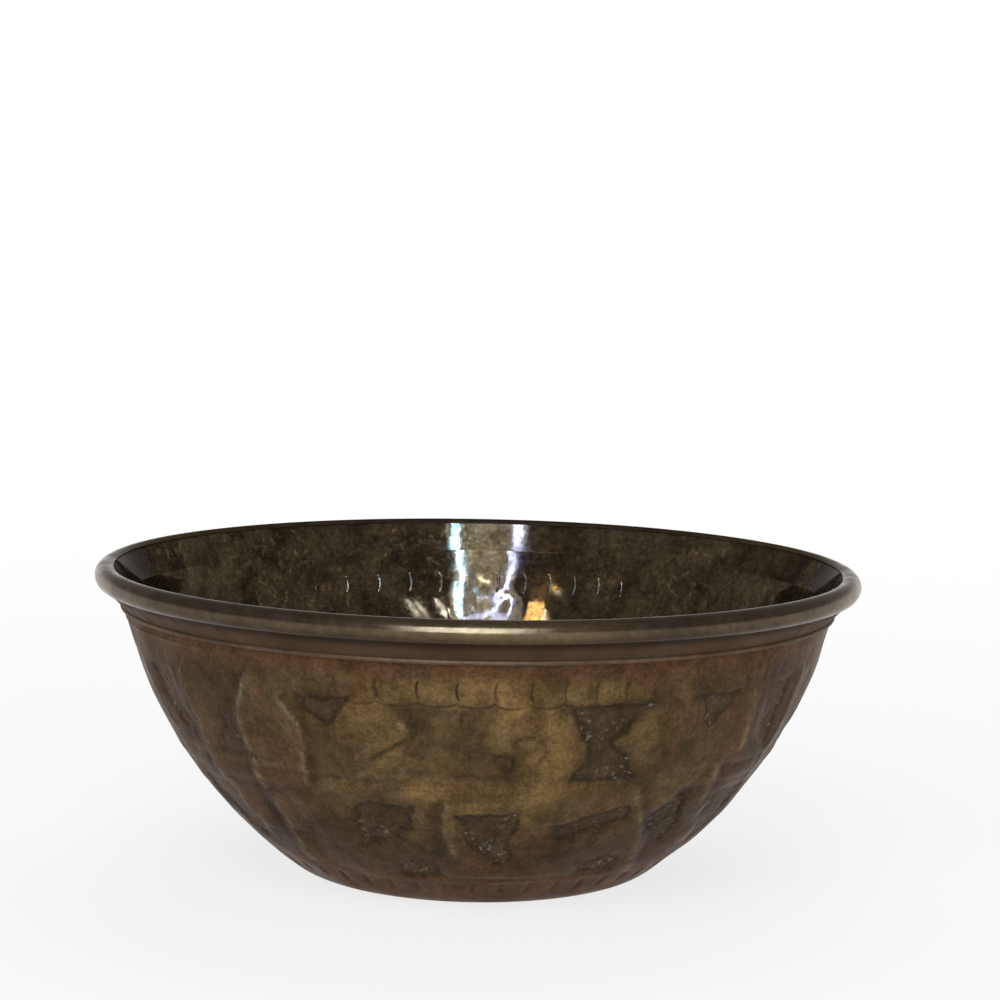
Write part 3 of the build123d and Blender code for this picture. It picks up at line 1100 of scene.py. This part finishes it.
def around(turn, rise, distance):
    """Place seen from the bowl, at degrees to the right of the front and degrees up."""
    turn, rise = math.radians(turn), math.radians(rise)
    flat = math.cos(rise) * distance
    return Vector((math.sin(turn) * flat, -math.cos(turn) * flat, math.sin(rise) * distance))


def add_lamp(name, low, high, width, radiance, tint, distance=1.0, piece=None):
    """A flat lamp facing the bowl, as bright at any size.

    It lights everything without being mirrored, or it is only mirrored, and in one piece alone.
    """
    low, high = around(*low, distance), around(*high, distance)
    middle = (low + high) / 2
    rise = (high - low).normalized()
    side = rise.cross(middle - BOWL_MIDDLE).normalized()
    turned = Matrix((side, rise, side.cross(rise))).transposed().to_4x4()
    bpy.ops.object.light_add(type="AREA")
    lamp = bpy.context.object
    lamp.name = name
    lamp.matrix_world = Matrix.Translation(middle) @ turned
    lamp.data.shape = "RECTANGLE"
    lamp.data.size = width
    lamp.data.size_y = (high - low).length
    lamp.data.energy = radiance * math.pi * width * lamp.data.size_y
    lamp.data.color = tint
    lamp.visible_camera = False
    lamp.visible_glossy = piece is not None
    lamp.visible_diffuse = piece is None
    if piece:
        lit = bpy.data.collections.new(name)
        lit.objects.link(bpy.data.objects[piece])
        lamp.light_linking.receiver_collection = lit


class OFFERINGBOWL_OT_stage(bpy.types.Operator):
    """Set up the floor, the light and the camera"""

    bl_idname = "offering_bowl.stage"
    bl_label = "Stage"

    def execute(self, context):
        settings = context.scene.offering_bowl
        self.lay_floor(settings)
        self.light_world(context.scene)
        add_lamp("back_softbox", (165, 42), (165, 80), 1.2, 3.5, WHITE, distance=1.5)
        add_lamp("front_fill", (-13, 28), (-13, 62), 1.0, 6.0, WHITE, distance=1.5)
        add_lamp("rim_panel", (-3, 7), (-3, 47), 0.48, 10.5, SKY, piece="rolled_rim")
        for glint in GLINTS:
            add_lamp(*glint, piece="chased_shell")
        self.set_camera(context.scene, settings.stage)
        context.scene.view_settings.view_transform = "Standard"
        return {"FINISHED"}

    def lay_floor(self, settings):
        """Plain pale floor that fades to white farther out, where it is seen."""
        deselect_all()
        bpy.ops.mesh.primitive_plane_add(size=settings.stage.floor)
        floor = bpy.context.object
        floor.name = "studio_floor"
        mat = Finish("pale_floor")
        mat.body = settings.finish.floor
        mat.shade(mat.noise(3, 2), *NOISE_SPAN, 0.97, 1.0)
        far = mat.add("VectorMath", {0: mat.places}, operation="LENGTH").outputs["Value"]
        path = mat.add("LightPath").outputs
        seen = mat.maths("MAXIMUM", path["Is Glossy Ray"], path["Is Transmission Ray"])
        seen = mat.maths("MAXIMUM", path["Is Camera Ray"], seen)
        share = mat.times(mat.spread(far, 0.05, 0.45, 0.8, 1.0), seen)
        glow = mat.add("Emission", {"Color": (*WHITE, 1)})
        sweep = mat.add("MixShader", {0: share, 1: mat.shader.outputs[0], 2: glow.outputs[0]})
        mat.feed(mat.tree.nodes["Material Output"], {"Surface": sweep.outputs[0]})
        floor.data.materials.append(mat.done({"Roughness": 0.9, "Specular IOR Level": 0.1}))

    def light_world(self, scene):
        """White at the horizon all round, dim higher up."""
        world = bpy.data.worlds.new("studio_world")
        world.use_nodes = True
        scene.world = world
        sky = Nodes(world.node_tree)
        facing = sky.add("TexCoord").outputs["Generated"]
        rise = sky.add("SeparateXYZ", {"Vector": facing}).outputs["Z"]
        shade = sky.mix(sky.spread(rise, 0.07, 0.26), WHITE, DIM)
        sky.feed(sky.tree.nodes["Background"], {"Color": shade})

    def set_camera(self, scene, stage):
        """Camera at the photograph's viewing angle."""
        bpy.ops.object.camera_add()
        camera = bpy.context.object
        camera.name = "view_camera"
        camera.data.lens = stage.lens
        camera.data.clip_start = 0.01
        turned = Matrix.Rotation(stage.yaw, 4, "Z") @ Matrix.Rotation(math.pi / 2 - stage.pitch, 4, "X")
        turned @= Matrix.Rotation(stage.roll, 4, "Z")
        camera.matrix_world = Matrix.Translation((0, -stage.distance, stage.eye)) @ turned
        scene.camera = camera


class OFFERINGBOWL_PT_panel(bpy.types.Panel):
    """Buttons for each piece, with the sizes and colours"""

    bl_label = "Offering Bowl"
    bl_idname = "OFFERINGBOWL_PT_panel"
    bl_space_type = "VIEW_3D"
    bl_region_type = "UI"
    bl_category = "Offering Bowl"

    def draw(self, context):
        settings = context.scene.offering_bowl
        for operator in OPERATORS:
            self.layout.operator(operator.bl_idname)
        for group in (settings.sheet, settings.rim, settings.chasing, settings.finish, settings.stage):
            box = self.layout.box()
            for name in group.__annotations__:
                box.prop(group, name)


GROUPS = (SheetSizes, RimSizes, ChasingSizes, FinishColours, StageSizes, OfferingBowlSettings)
OPERATORS = (
    OFFERINGBOWL_OT_chased_shell,
    OFFERINGBOWL_OT_rolled_rim,
    OFFERINGBOWL_OT_hidden_ring,
    OFFERINGBOWL_OT_stage,
)
CLASSES = (*GROUPS, *OPERATORS, OFFERINGBOWL_PT_panel)


def register():
    for made in CLASSES:
        bpy.utils.register_class(made)
    bpy.types.Scene.offering_bowl = PointerProperty(type=OfferingBowlSettings)


def unregister():
    del bpy.types.Scene.offering_bowl
    for made in reversed(CLASSES):
        bpy.utils.unregister_class(made)


def main():
    register()
    bpy.ops.offering_bowl.chased_shell()
    bpy.ops.offering_bowl.rolled_rim()
    bpy.ops.offering_bowl.hidden_ring()
    bpy.ops.offering_bowl.stage()


if __name__ == "__main__":
    main()
